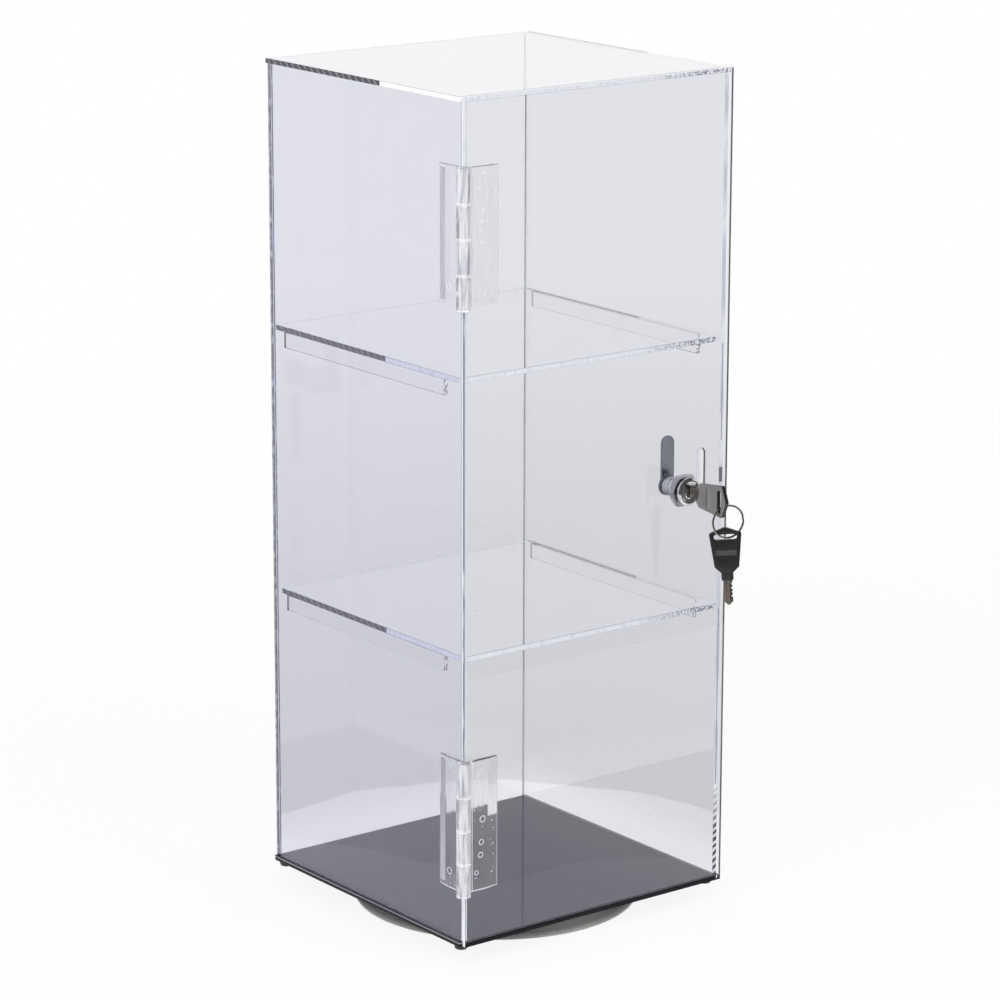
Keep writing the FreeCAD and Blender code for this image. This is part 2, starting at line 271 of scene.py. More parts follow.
def node(material, kind, settings=None, **inputs):
    """Adds a node. An input is a number, a colour or another node's output. It goes by its
    socket's name with _ for a space, or by at and its socket's number."""
    made = material.node_tree.nodes.new("ShaderNode" + kind)
    for key, value in (settings or {}).items():
        setattr(made, key, value)
    for key, value in inputs.items():
        socket = made.inputs[int(key[2:]) if key.startswith("at") else key.replace("_", " ")]
        if isinstance(value, bpy.types.NodeSocket):
            material.node_tree.links.new(value, socket)
        else:
            socket.default_value = (*value, 1) if socket.type == "RGBA" else value
    return made


def output(material, shader):
    node(material, "OutputMaterial", Surface=shader)
    return material


def principled(material, **inputs):
    return node(material, "BsdfPrincipled", **inputs).outputs[0]


def mix(material, share, one, two):
    return node(material, "MixShader", at0=share, at1=one, at2=two).outputs[0]


def place_and_normal(material):
    """The place in the object and the parts of the normal there."""
    made = node(material, "TexCoord")
    return made.outputs["Object"], parts_of(material, made.outputs["Normal"])


def parts_of(material, vector):
    made = node(material, "SeparateXYZ", Vector=vector)
    return [made.outputs[i] for i in range(3)]


def maths(material, operation, one, two=0.0, three=0.0):
    made = node(material, "Math", {"operation": operation}, at0=one, at1=two, at2=three)
    return made.outputs[0]


def length_of(material, vector):
    return node(material, "VectorMath", {"operation": "LENGTH"}, at0=vector).outputs["Value"]


def size_of(material, value):
    return maths(material, "ABSOLUTE", value)


def above(material, value, least):
    return maths(material, "GREATER_THAN", value, least)


def below(material, value, most):
    return maths(material, "LESS_THAN", value, most)


def within(material, value, middle, half):
    return maths(material, "COMPARE", value, middle, half)


def outside(material, value, middle, half):
    return maths(material, "SUBTRACT", 1.0, within(material, value, middle, half))


def either(material, one, two):
    return maths(material, "MAXIMUM", one, two)


def all_of(material, *masks):
    share = masks[0]
    for mask in masks[1:]:
        share = maths(material, "MULTIPLY", share, mask)
    return share


def facing(material, normal, axis):
    """1 on faces and arrises that look along an axis, to either side."""
    return above(material, size_of(material, normal[axis]), 0.25)


def broad(material, normal, axis):
    """1 on faces that look along an axis, to either side, without their arrises."""
    return above(material, size_of(material, normal[axis]), 0.9)


def spread(material, value, low, high, to_low=0.0, to_high=1.0):
    """Runs from to_low to to_high while the value runs from low to high."""
    spans = {"From_Min": low, "From_Max": high, "To_Min": to_low, "To_Max": to_high}
    return node(material, "MapRange", Value=value, **spans).outputs[0]


def blend(material, share, one, two):
    made = node(material, "Mix", {"data_type": "RGBA"}, at0=share, at6=one, at7=two)
    return made.outputs[2]


def noise(material, vector, scale, detail=3.0, roughness=0.5):
    inputs = {"Vector": vector, "Scale": scale, "Detail": detail, "Roughness": roughness}
    return node(material, "TexNoise", **inputs).outputs["Fac"]


def bands(material, vector, direction, scale, distortion, detail, detail_scale):
    made = node(
        material,
        "TexWave",
        {"bands_direction": direction},
        Vector=vector,
        Scale=scale,
        Distortion=distortion,
        Detail=detail,
        Detail_Scale=detail_scale,
    )
    return made.outputs["Fac"]


def stretched(material, vector, factors, turn=(0, 0, 0)):
    return node(material, "Mapping", Vector=vector, Scale=factors, Rotation=turn).outputs[0]


def bump(material, height, strength, distance):
    inputs = {"Height": height, "Strength": strength, "Distance": distance}
    return node(material, "Bump", **inputs).outputs[0]


def specks(material, vector, scale, size, share):
    """1 on a few small round spots of dust, 0 elsewhere."""
    cells = node(material, "TexVoronoi", Vector=vector, Scale=scale)
    near = below(material, cells.outputs["Distance"], size)
    parts = node(material, "SeparateColor", Color=cells.outputs["Color"])
    return all_of(material, near, above(material, parts.outputs[0], 1 - share))


def lamps_pass(material, shader, tint):
    """Lets lamp light and soft light through a clear piece, so that what is behind it is lit."""
    path = node(material, "LightPath")
    clear = node(material, "BsdfTransparent", Color=tint).outputs[0]
    soft = mix(material, path.outputs["Is Diffuse Ray"], shader, clear)
    return mix(material, path.outputs["Is Shadow Ray"], soft, clear)


# Marks on the edges of the clear sheets. Each takes the edge's colour and returns it marked.


def saw_cut(material, place, normal, colour):
    """The side edges of a level sheet are as the saw left them behind sawn_from. The front edge is
    chipped at one end."""
    sawn_from = -18 * MM
    x, y, _ = parts_of(material, place)
    slanting = stretched(material, place, (1, 1, 1), (0.8, 0, 0))
    lines = bands(material, slanting, "Y", 72, distortion=2.5, detail=3, detail_scale=2.5)
    light = spread(material, lines, 0.6, 0.95)
    saw = blend(material, light, (0.075, 0.077, 0.086), (0.21, 0.215, 0.24))
    cut = all_of(material, facing(material, normal, 0), above(material, y, sawn_from))
    colour = blend(material, cut, colour, saw)
    chip = above(material, noise(material, place, 1000, 1), 0.5)
    far = spread(material, x, 30 * MM, 80 * MM)
    chipped = all_of(material, chip, far, facing(material, normal, 1), below(material, y, 0))
    return blend(material, chipped, colour, (0.22, 0.22, 0.27))


def borders(material, value, middle, grain, low, high):
    """1 along both borders of an edge, broken up by the grain between low and high."""
    away = size_of(material, maths(material, "SUBTRACT", value, middle))
    return all_of(material, above(material, away, 0.5 * MM), spread(material, grain, low, high))


def dark_back(material, place, normal, colour):
    """The left wall's back edge is cut, with a dark line along each border."""
    x, y, _ = parts_of(material, place)
    grain = noise(material, stretched(material, place, (1, 1, 0.4)), 500, 2)
    line = borders(material, x, middle_of("left_panel").x, grain, 0.2, 0.5)
    back = all_of(material, facing(material, normal, 1), above(material, y, 0))
    cut = all_of(material, spread(material, grain, 0.35, 0.6), back)
    colour = blend(material, cut, colour, (0.45, 0.46, 0.52))
    return blend(material, all_of(material, line, back), colour, (0.05, 0.05, 0.06))


def dark_ends(material, place, normal, colour):
    """The back panel's side edges, cemented between the walls, have dark lines at the borders."""
    y = parts_of(material, place)[1]
    grain = noise(material, stretched(material, place, (1, 1, 0.4)), 500, 2)
    line = borders(material, y, middle_of("back_panel").y, grain, 0.1, 0.45)
    side_line = all_of(material, line, facing(material, normal, 0))
    return blend(material, side_line, colour, (0.04, 0.04, 0.05))


def strip_ends(material, place, normal, colour):
    """The cement leaves the cleats dark at the back and brown-spotted at the front."""
    y = parts_of(material, place)[1]
    end = facing(material, normal, 1)
    back = all_of(material, end, above(material, y, 0))
    colour = blend(material, back, colour, (0.05, 0.05, 0.055))
    spot = above(material, noise(material, place, 650, 2), 0.54)
    spotted = all_of(material, spot, end, below(material, y, 0))
    return blend(material, spotted, colour, (0.30, 0.23, 0.17))


def dark_side(material, place, normal, colour):
    """The door's side by the lock is sawn and dark. Its side by the hinges is polished, with a
    blue core between dark borders."""
    x, y, z = parts_of(material, place)
    middle = middle_of("door_panel").y
    grain = noise(material, stretched(material, place, (1, 1, 0.12)), 300, 3)
    side = facing(material, normal, 0)
    by_hinges = all_of(material, side, below(material, x, 0))
    core = within(material, y, middle, 0.9 * MM)
    raised = spread(material, z, 95 * MM, 135 * MM, 0.1, 1.0)
    fading = spread(material, z, 400 * MM, 440 * MM, 1.0, 0.35)
    patchy = spread(material, grain, 0.26, 0.44)
    blue = all_of(material, patchy, core, raised, fading, by_hinges)
    colour = blend(material, blue, colour, (0.20, 0.23, 0.32))
    border = outside(material, y, middle, 1.1 * MM)
    deep = spread(material, z, 95 * MM, 135 * MM, 1.0, 0.5)
    dark = all_of(material, border, deep, by_hinges)
    colour = blend(material, dark, colour, (0.10, 0.11, 0.14))
    by_lock = all_of(material, side, above(material, x, 0))
    return blend(material, by_lock, colour, (0.10, 0.10, 0.11))


def patched_front(material, place, normal, colour):
    """The right wall's front edge is polished in patches, with stripes along it and teeth low
    down. One side of the wall's slot for the cam is dark."""
    x, y, z = parts_of(material, place)
    edge = facing(material, normal, 1)
    front = all_of(material, edge, below(material, y, left_low.y + 4 * MM))
    shade = noise(material, stretched(material, place, (0, 0, 1)), 22, 1)
    dull = all_of(material, spread(material, shade, 0.45, 0.55), front)
    colour = blend(material, dull, colour, (0.66, 0.66, 0.74))
    slanting = stretched(material, place, (1, 1, 1), (0, 0.5, 0))
    teeth = bands(material, slanting, "Z", 80, distortion=1.5, detail=2, detail_scale=2.0)
    low_down = spread(material, z, 80 * MM, 45 * MM)
    toothed = all_of(material, above(material, teeth, 0.45), low_down, front)
    colour = blend(material, toothed, colour, (0.02, 0.02, 0.03))
    core = within(material, x, middle_of("right_panel").x, 0.45 * MM)
    over_lock = within(material, z, 317 * MM, 29 * MM)
    under_lock = within(material, z, 130 * MM, 55 * MM)
    stripe = all_of(material, core, either(material, over_lock, under_lock), front)
    colour = blend(material, stripe, colour, (0.36, 0.37, 0.47))
    by_lock = all_of(material, within(material, z, lock_middle.z + 6 * MM, 4.5 * MM), front)
    colour = blend(material, by_lock, colour, (0.16, 0.16, 0.20))
    slot_front = within(material, y, slot_middle[0] - 3 * MM, 2.5 * MM)
    slot_height = within(material, z, slot_middle[1], 14 * MM)
    slot_side = all_of(material, slot_front, slot_height, edge)
    return blend(material, slot_side, colour, (0.02, 0.02, 0.022))


# Materials


def clear_sheet(name, thin, tint, marks, clear_below=False, brightened_until=None, wet_until=None):
    """Cast acrylic sheet: clear broad faces with faint smudges and dust, and edges painted pale, a
    painted light for the light that edges carry. Upright sheets have a dark cemented foot. With
    clear_below, for the cleats, the faces that look up and down are clear too. Low down, below a
    given height, the sheet is painted less tinted, a painted brightening, and below wet_until
    it lies against the base panel with no air between."""
    material = new_material(name)
    place, normal = place_and_normal(material)
    height = parts_of(material, place)[2]
    smudge = noise(material, place, 38, 5, 0.6)
    dust = specks(material, place, 70, 0.035, 0.25)
    # painted light: below the given height, with a wavering border, the tint is painted lighter, a
    # painted brightening of the sheet's lower part
    if brightened_until:
        waver = maths(material, "MULTIPLY", noise(material, place, 14, 2), 6 * MM)
        raised = maths(material, "ADD", height, waver)
        clean = spread(material, raised, brightened_until - 8 * MM, brightened_until + 12 * MM, 1.0, 0.0)
        tint = blend(material, clean, tint, (0.985, 0.985, 0.99))
    face = principled(
        material,
        Base_Color=blend(material, dust, tint, (0.5, 0.5, 0.52)),
        Roughness=spread(material, smudge, 0.52, 0.8, 0.0, 0.02),
        IOR=ACRYLIC_IOR,
        Transmission_Weight=1.0,
    )
    streak = noise(material, stretched(material, place, (1, 1, 0.3)), 420, 2)
    streaked = spread(material, streak, 0.48, 0.8)
    # painted light: the edges are painted near white for the light they carry, with darker streaks
    colour = blend(material, streaked, (0.98, 0.98, 0.99), (0.74, 0.76, 0.82))
    if not clear_below:
        colour = blend(material, facing(material, normal, thin), colour, (0.76, 0.77, 0.80))
    colour = marks(material, place, normal, colour)
    if thin < 2 and not clear_below:
        foot = all_of(material, facing(material, normal, 2), below(material, height, 40 * MM))
        colour = blend(material, foot, colour, (0.03, 0.03, 0.033))
    edge = principled(
        material,
        Base_Color=colour,
        Roughness=spread(material, streak, 0.3, 0.7, 0.06, 0.16),
        IOR=ACRYLIC_IOR,
        Specular_IOR_Level=0.2,
        Normal=bump(material, streak, 0.3, 0.1 * MM),
    )
    clear = broad(material, normal, thin)
    if clear_below:
        clear = either(material, clear, broad(material, normal, 2))
    shader = mix(material, clear, edge, face)
    if wet_until:
        wet = all_of(material, clear, below(material, height, wet_until))
        through = node(material, "BsdfTransparent", Color=(1, 1, 1)).outputs[0]
        shader = mix(material, wet, shader, through)
    return output(material, lamps_pass(material, shader, tint))


def clear_moulding(name, clearness, glints_on_rims, streaked):
    """Clear moulded plastic of the hinges, with flow marks along it. The lower ends of the plates,
    or else the rims of the knuckles, are painted white and less clear, a painted glint for the
    light inside the plastic."""
    tint = (0.95, 0.95, 0.965)
    material = new_material(name)
    place, normal = place_and_normal(material)
    height = parts_of(material, place)[2]
    flow = noise(material, stretched(material, place, (1, 1, 0.10)), 520, 3)
    # painted glint: faces that look up or down, at the places chosen below, are painted white and
    # less clear
    bright = above(material, size_of(material, normal[2]), 0.22)
    if glints_on_rims:
        for top in hinge_tops:
            bright = all_of(material, bright, outside(material, height, top, 2 * MM))
    else:
        low_ends = [within(material, height, bottom, 3 * MM) for bottom in hinge_bottoms]
        bright = all_of(material, bright, either(material, *low_ends))
    colour = blend(material, spread(material, flow, 0.48, 0.62), tint, streaked)
    less_clear = spread(material, bright, 0, 1, 1.0, 0.15)
    shader = principled(
        material,
        Base_Color=blend(material, bright, colour, (1, 1, 1)),
        Roughness=spread(material, flow, 0.3, 0.8, 0.02, 0.08),
        IOR=ACRYLIC_IOR,
        Transmission_Weight=all_of(material, clearness, less_clear),
        Normal=bump(material, flow, 0.15, 0.2 * MM),
    )
    return output(material, lamps_pass(material, shader, tint))


def painted_glint(name):
    """Painted highlight, white and partly clear: the bright rim of air shut in clear plastic, where
    its skin turns light back, and the other glints of the hinges.
    """
    material = new_material(name)
    place = node(material, "TexCoord").outputs["Object"]
    shader = principled(
        material,
        Base_Color=(1.0, 1.0, 1.0),
        Roughness=spread(material, noise(material, place, 900, 2), 0.3, 0.7, 0.02, 0.12),
        IOR=ACRYLIC_IOR,
        Transmission_Weight=0.25,
    )
    return output(material, lamps_pass(material, shader, (0.95, 0.95, 0.96)))


def plain(name, colour, other, scale, rough, span, metal=0, depth=0, stretch=(1, 1, 1), **more):
    """A solid surface: two close shades, roughness from rough up by span, and bumps of a depth,
    all from one noise of a scale and a stretch."""
    material = new_material(name)
    place = node(material, "TexCoord").outputs["Object"]
    grain = noise(material, stretched(material, place, stretch), scale, 4, 0.6)
    if depth:
        more["Normal"] = bump(material, grain, 0.5, depth)
    shader = principled(
        material,
        Base_Color=blend(material, spread(material, grain, 0.35, 0.7), colour, other),
        Roughness=spread(material, grain, 0.3, 0.7, rough, rough + span),
        Metallic=metal,
        **more,
    )
    return output(material, shader)


def shade_lifted_plate(name):
    """Grey moulded plate of the turntable, darker towards its rim: inward the colour is painted
    pale, a painted light that lifts the shade under the base.
    """
    material = new_material(name)
    place = node(material, "TexCoord").outputs["Object"]
    x, y, _ = parts_of(material, place)
    away = length_of(material, node(material, "CombineXYZ", X=x, Y=y).outputs[0])
    grain = noise(material, place, 300, 4, 0.6)
    shade = spread(material, grain, 0.35, 0.7)
    # painted light: inward the plate is painted pale, to lift the shade that the base casts on it
    pale = blend(material, shade, (0.90, 0.90, 0.84), (0.82, 0.82, 0.76))
    dull = blend(material, shade, (0.40, 0.405, 0.375), (0.33, 0.335, 0.31))
    shader = principled(
        material,
        Base_Color=blend(material, spread(material, away, 75 * MM, 86 * MM), pale, dull),
        Roughness=spread(material, grain, 0.3, 0.7, 0.16, 0.26),
        IOR=1.6,
    )
    return output(material, shader)


def black_sheet(name):
    """Gloss black acrylic with wiping marks and dust, and duller edges with a painted highlight
    line near their top.
    """
    material = new_material(name)
    place, normal = place_and_normal(material)
    height = parts_of(material, place)[2]
    wipe = noise(material, stretched(material, place, (1, 0.25, 1), (0, 0, 0.6)), 40, 5, 0.6)
    dust = specks(material, place, 55, 0.03, 0.3)
    wiped = spread(material, wipe, 0.4, 0.75, 0.02, 0.06)
    face = principled(
        material,
        Base_Color=blend(material, dust, (0.003, 0.003, 0.034), (0.20, 0.20, 0.23)),
        Roughness=maths(material, "ADD", wiped, maths(material, "MULTIPLY", dust, 0.4)),
        IOR=ACRYLIC_IOR,
        Specular_IOR_Level=0.2,
    )
    shade = spread(material, wipe, 0.4, 0.7)
    colour = blend(material, shade, (0.010, 0.010, 0.012), (0.020, 0.020, 0.024))
    # painted highlight: a light line along the edges, just below the top
    line = within(material, height, base_top - 1.05 * MM, 0.35 * MM)
    edge = principled(
        material,
        Base_Color=blend(material, line, colour, (0.30, 0.30, 0.33)),
        Roughness=spread(material, wipe, 0.3, 0.7, 0.16, 0.30),
        IOR=ACRYLIC_IOR,
        Specular_IOR_Level=0.15,
    )
    return output(material, mix(material, broad(material, normal, 2), edge, face))


wall_left = clear_sheet("clear_acrylic_left", 0, (0.820, 0.820, 0.888), dark_back)
wall_right = clear_sheet(
    "clear_acrylic_right", 0, (0.870, 0.873, 0.900), patched_front, brightened_until=40 * MM
)
wall_back = clear_sheet(
    "clear_acrylic_back", 1, (0.878, 0.882, 0.900), dark_ends, brightened_until=36 * MM
)
wall_front = clear_sheet(
    "clear_acrylic_front", 1, (0.904, 0.908, 0.926), dark_side, wet_until=base_top
)
cleat_clear = clear_sheet(
    "clear_acrylic_cleat", 0, (0.97, 0.97, 0.975), strip_ends, clear_below=True
)
roof = clear_sheet("clear_acrylic_top", 2, (0.930, 0.930, 0.945), saw_cut)
shelf_clear = clear_sheet("clear_acrylic_level", 2, (0.985, 0.985, 0.992), saw_cut)
hinge_clear = clear_moulding("clear_hinge", 1.0, False, (0.90, 0.90, 0.92))
barrel_clear = clear_moulding("clear_hinge_barrel", 0.64, True, (0.55, 0.56, 0.60))
# painted highlight: white material for the bubble rims, the knuckle glints and the leaves'
# highlight lines
glint_white = painted_glint("painted_glint")
cement = plain(
    "cement_film",
    (0.90, 0.90, 0.94),
    (0.70, 0.70, 0.76),
    scale=260,
    rough=0.30,
    span=0.14,
    stretch=(1, 1, 0.12),
    IOR=ACRYLIC_IOR,
    Transmission_Weight=0.72,
)
pin_clear = plain(
    "hinge_pin",
    (0.93, 0.93, 0.95),
    (0.82, 0.82, 0.85),
    scale=700,
    rough=0.10,
    span=0.14,
    stretch=(1, 1, 0.1),
    IOR=ACRYLIC_IOR,
    Transmission_Weight=0.75,
)
black = black_sheet("black_acrylic")
chrome = plain(
    "lock_chrome",
    (0.80, 0.81, 0.83),
    (0.70, 0.71, 0.73),
    scale=900,
    rough=0.05,
    span=0.08,
    metal=1,
)
# painted reflection: dark bands along the threaded chrome
chrome_thread = plain(
    "lock_chrome_thread",
    (0.74, 0.75, 0.78),
    (0.10, 0.105, 0.12),
    scale=420,
    rough=0.08,
    span=0.10,
    metal=1,
    stretch=(0.05, 1, 0.05),
)
zinc = plain(
    "lock_zinc",
    (0.50, 0.50, 0.52),
    (0.36, 0.36, 0.38),
    scale=1400,
    rough=0.14,
    span=0.14,
    metal=1,
    depth=0.02 * MM,
)
cam_zinc = plain(
    "lock_zinc_cam",
    (0.24, 0.25, 0.29),
    (0.15, 0.16, 0.19),
    scale=900,
    rough=0.16,
    span=0.12,
    metal=1,
    depth=0.02 * MM,
)
steel = plain(
    "key_steel",
    (0.25, 0.22, 0.19),
    (0.14, 0.125, 0.11),
    scale=1600,
    rough=0.2,
    span=0.18,
    metal=1,
    depth=0.02 * MM,
    stretch=(1, 1, 0.08),
)
ring_metal = plain(
    "ring_steel",
    (0.66, 0.60, 0.55),
    (0.46, 0.42, 0.39),
    scale=1500,
    rough=0.12,
    span=0.14,
    metal=1,
)
pivot_steel = plain(
    "pivot_steel", (0.5, 0.5, 0.5), (0.4, 0.4, 0.4), scale=900, rough=0.3, span=0.1, metal=1
)
key_plastic = plain(
    "key_plastic",
    (0.014, 0.013, 0.012),
    (0.024, 0.022, 0.021),
    scale=2200,
    rough=0.26,
    span=0.14,
    depth=0.05 * MM,
    IOR=1.5,
)
key_label = plain(
    "key_label",
    (0.050, 0.047, 0.045),
    (0.070, 0.066, 0.063),
    scale=1800,
    rough=0.38,
    span=0.14,
    depth=0.04 * MM,
    IOR=1.5,
)
# painted light: a lit copy of the key plastic, paler and glossier, for the key in the lock, which
# faces the light
key_lit_copy = plain(
    "key_plastic_lit_copy",
    (0.105, 0.094, 0.080),
    (0.070, 0.063, 0.054),
    scale=2200,
    rough=0.14,
    span=0.08,
    depth=0.03 * MM,
    IOR=2.0,
    Specular_Tint=(1.0, 0.97, 0.93),
    Coat_Weight=1.0,
    Coat_Roughness=0.14,
    Coat_IOR=2.0,
)
# painted light: a lit copy of the key label, for the key in the lock
label_lit_copy = plain(
    "key_label_lit_copy",
    (0.150, 0.142, 0.130),
    (0.105, 0.099, 0.091),
    scale=1800,
    rough=0.18,
    span=0.10,
    depth=0.03 * MM,
    IOR=2.0,
    Specular_Tint=(1.0, 0.97, 0.93),
    Coat_Weight=1.0,
    Coat_Roughness=0.16,
    Coat_IOR=2.0,
)
dish_paint = shade_lifted_plate("turntable_plate")
nylon = plain(
    "glide_nylon", (0.75, 0.74, 0.70), (0.68, 0.67, 0.63), scale=700, rough=0.4, span=0.1
)
rubber = plain(
    "rubber",
    (0.022, 0.022, 0.022),
    (0.040, 0.040, 0.040),
    scale=1800,
    rough=0.55,
    span=0.2,
    depth=0.05 * MM,
)
bumper_rubber = plain(
    "bumper",
    (0.016, 0.016, 0.017),
    (0.028, 0.028, 0.030),
    scale=1500,
    rough=0.3,
    span=0.15,
    depth=0.02 * MM,
)
tape = plain("tape", (0.55, 0.55, 0.53), (0.45, 0.45, 0.43), scale=1200, rough=0.6, span=0.1)


# Sheets


def shrunk(node_name):
    low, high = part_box(node_name)
    seam = Vector((SEAM, SEAM, SEAM))
    return low + seam, high - seam


def sheet(node_name, material, edge=ARRIS):
    bm = block(*shrunk(node_name))
    bevel(bm, edge)
    add_piece(node_name + "_sheet", bm, "case", material, [node_name])


sheet("left_panel", wall_left)
sheet("back_panel", wall_back)
sheet("top_panel", roof)
for level in LEVELS:
    sheet(level + "_shelf", shelf_clear)
for level in LEVELS:
    for side in ("left", "right"):
        sheet(f"{level}_{side}_cleat", cleat_clear, 0.2 * MM)
sheet("base_panel", black, 0.3 * MM)

lock_hole = ring_points((lock_middle.x, lock_middle.z), 5.65 * MM, 48)
bm = pierced(*shrunk("door_panel"), 1, lock_hole)
bevel(bm, ARRIS)
add_piece("door_sheet", bm, "door", wall_front, ["door_panel"])

cam_slot = slot_points(slot_middle, 5.8 * MM, 25 * MM, 16)
bm = pierced(*shrunk("right_panel"), 0, cam_slot)
bevel(bm, ARRIS)
add_piece("right_panel_sheet", bm, "case", wall_right, ["right_panel"])


# Hinges


def on_plate(face):
    middle = face.calc_center_median() - hinge_axis
    return middle.xy.length > barrel_radius * 1.001


def leaf(node_name, body, axis, glued_at):
    """A leaf's plate and knuckles, drawn back from the sheet that it is glued to."""
    bm = cad_copy(node_name)
    pull_back(bm, axis, glued_at, -SEAM)
    bevel(bm, 0.22 * MM, 25)
    shade_smooth(bm, 26, on_plate)
    for face in bm.faces:
        face.material_index = int(not on_plate(face))
    both = (hinge_clear, barrel_clear)
    add_piece(node_name + "_moulding", bm, body, both, [node_name])


def bubbles(name, body, low, along, inward, spots):
    """Rims of flat air bubbles in the glued face of a hinge leaf, drawn as rings of painted
    highlight.
    A spot is how far along the leaf a bubble is, how high and how large, in millimetres."""
    depth = 0.55
    bm = bmesh.new()
    turn = Matrix.Rotation(math.pi / 2, 4, along)
    for reach, height, radius in spots:
        middle = low + along * reach * MM + Vector((0, 0, height * MM)) + inward * depth * MM
        matrix = Matrix.Translation(middle) @ turn
        join(bm, wire_ring(radius, min(0.24, radius * 0.30), matrix, 20))
    add_piece(name, bm, body, glint_white, (), 80)


def painted_joint_glints(name, body, foot, heights):
    """Painted glints: bright rings just inside the ends of the knuckles, pieces that stand in for
    where the plastic turns light back.
    """
    bm = bmesh.new()
    for height in heights:
        matrix = Matrix.Translation((hinge_axis.x, hinge_axis.y, (foot + height) * MM))
        join(bm, wire_ring(3.55, 0.36, matrix, 32))
    add_piece(name, bm, body, glint_white, (), 80)


def fine_spots(seed, count, spans):
    """Small bubbles, so many in each span of reach and height."""
    chance = random.Random(seed)
    spots = []
    for reach_low, reach_high, height_low, height_high in spans:
        for _ in range(count):
            reach = chance.uniform(reach_low, reach_high)
            height = chance.uniform(height_low, height_high)
            spots.append((reach, height, chance.uniform(0.16, 0.36)))
    return spots


def strip(name, body, low, high, edge, material):
    """A thin strip on a hinge leaf."""
    bm = block(Vector(low), Vector(high))
    bevel(bm, edge)
    add_piece(name, bm, body, material, (), 40)


# the bubbles that the photograph shows in the door's leaves
large_spots = {
    "lower": [
        (11.5, 43.0, 1.85),
        (10.6, 29.2, 1.6),
        (10.1, 21.5, 1.6),
        (7.1, 11.3, 1.3),
        (8.3, 70.0, 1.25),
        (2.7, 72.5, 0.5),
        (10.6, 72.7, 0.5),
        (15.8, 55.2, 0.55),
        (18.1, 41.0, 0.42),
        (19.2, 27.0, 0.38),
        (19.2, 20.4, 0.38),
        (18.2, 9.8, 0.45),
    ],
    "upper": [
        (11.5, 75.0, 0.9),
        (7.1, 74.2, 0.75),
        (9.3, 67.0, 1.0),
        (11.5, 54.5, 0.95),
        (10.2, 47.8, 1.0),
        (9.7, 42.2, 0.8),
        (11.1, 36.0, 1.0),
        (9.3, 29.4, 1.0),
        (8.0, 7.2, 1.1),
        (12.9, 7.2, 1.0),
    ],
}
door_spans = [(4, 13, 6, 74), (14.5, 20.5, 5, 75)]
fixed_spans = [(3, 6, 4, 76), (3, 20, 3, 9), (3, 20, 71, 77)]
X, Y = Vector((1, 0, 0)), Vector((0, 1, 0))

for level in LEVELS:
    hinge = level + "_hinge"
    leaf(hinge + "_door_leaf", "door", 1, door_low.y)
    leaf(hinge + "_fixed_leaf", "case", 0, left_low.x)

    door_leaf_low, door_leaf_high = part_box(hinge + "_door_leaf")
    corner = Vector((hinge_axis.x + barrel_radius, door_low.y, door_leaf_low.z))
    spots = large_spots[level] + fine_spots(3, 9, door_spans)
    bubbles(hinge + "_door_bubbles", "door", corner, X, -Y, spots)
    corner = Vector((left_low.x, hinge_axis.y + barrel_radius, door_leaf_low.z))
    spots = [(12.5, 10.5, 2.0)] + fine_spots(8, 12, fixed_spans)
    bubbles(hinge + "_fixed_bubbles", "case", corner, Y, -X, spots)

    fixed_low, fixed_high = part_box(hinge + "_fixed_leaf")
    low = (left_low.x - 0.30 * MM, fixed_high.y - 6.0 * MM, fixed_low.z + 2 * MM)
    high = (left_low.x - 0.18 * MM, fixed_high.y - 0.7 * MM, fixed_high.z - 3 * MM)
    strip(hinge + "_cement_film", "case", low, high, 0.04 * MM, cement)
    # painted highlight: a thin white strip in the door leaf, for the bright line where its plate's
    # thickness changes
    line_x = hinge_axis.x + barrel_radius + 3.9 * MM
    low = (line_x - 0.16 * MM, door_low.y - 1.0 * MM, door_leaf_low.z + 1.2 * MM)
    high = (line_x + 0.16 * MM, door_low.y - 0.2 * MM, door_leaf_high.z - 1.2 * MM)
    strip(hinge + "_highlight_line", "door", low, high, 0.06 * MM, glint_white)

    foot = door_leaf_low.z / MM
    painted_joint_glints(hinge + "_door_glints", "door", foot, (0.5, 19.4, 40.6, 59.4))
    painted_joint_glints(hinge + "_fixed_glints", "case", foot, (20.6, 39.4, 60.6))

    pin = hinge + "_pin"
    low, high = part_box(pin)
    radius = (high.x - low.x) / 2
    length = high.z - low.z
    outline = rounded([(0, 0), (radius, 0), (radius, length), (0, length)], 0.4 * MM)
    bm = lathe(outline, Matrix.Translation((hinge_axis.x, hinge_axis.y, low.z)), 32)
    add_piece(pin + "_rod", bm, "case", pin_clear, [pin], 40)


# Lock and keys

# the lock's radii, in millimetres; heights run from 0 at the door's front face towards the back
THREAD, ROOT, BORE, HEAD = 5.5, 5.18, 4.3, 8.35
THREAD_FROM, THREAD_UNTIL, PITCH = 3.2, 18.0, 0.95
profile = [
    (BORE, -1.8),
    (5.35, -1.8),
    (6.35, -2.5),
    (7.05, -2.5),
    (HEAD, -1.2),
    (HEAD, -0.02),
    (THREAD, -0.02),
    (THREAD, THREAD_FROM),
]
height = THREAD_FROM
while height < THREAD_UNTIL:
    profile += [
        (THREAD, height + 0.15),
        (ROOT, height + 0.4),
        (ROOT, height + 0.55),
        (THREAD, height + 0.8),
    ]
    height += PITCH
profile += [(THREAD, 18.6), (5.0, 19.2), (BORE, 19.2)]
z_to_y = Matrix(((1, 0, 0, 0), (0, 0, 1, 0), (0, -1, 0, 0), (0, 0, 0, 1)))
at_lock = Matrix.Translation((lock_middle.x, door_low.y, lock_middle.z)) @ z_to_y
bm = lathe(in_mm(profile), at_lock, 64, closed=True)
for face in bm.faces:
    face.material_index = int(face.calc_center_median().y > door_high.y)
bevel(bm, 0.12 * MM, 35)
add_piece("lock_body_shell", bm, "door", (chrome, chrome_thread), ["lock_body"], 40)
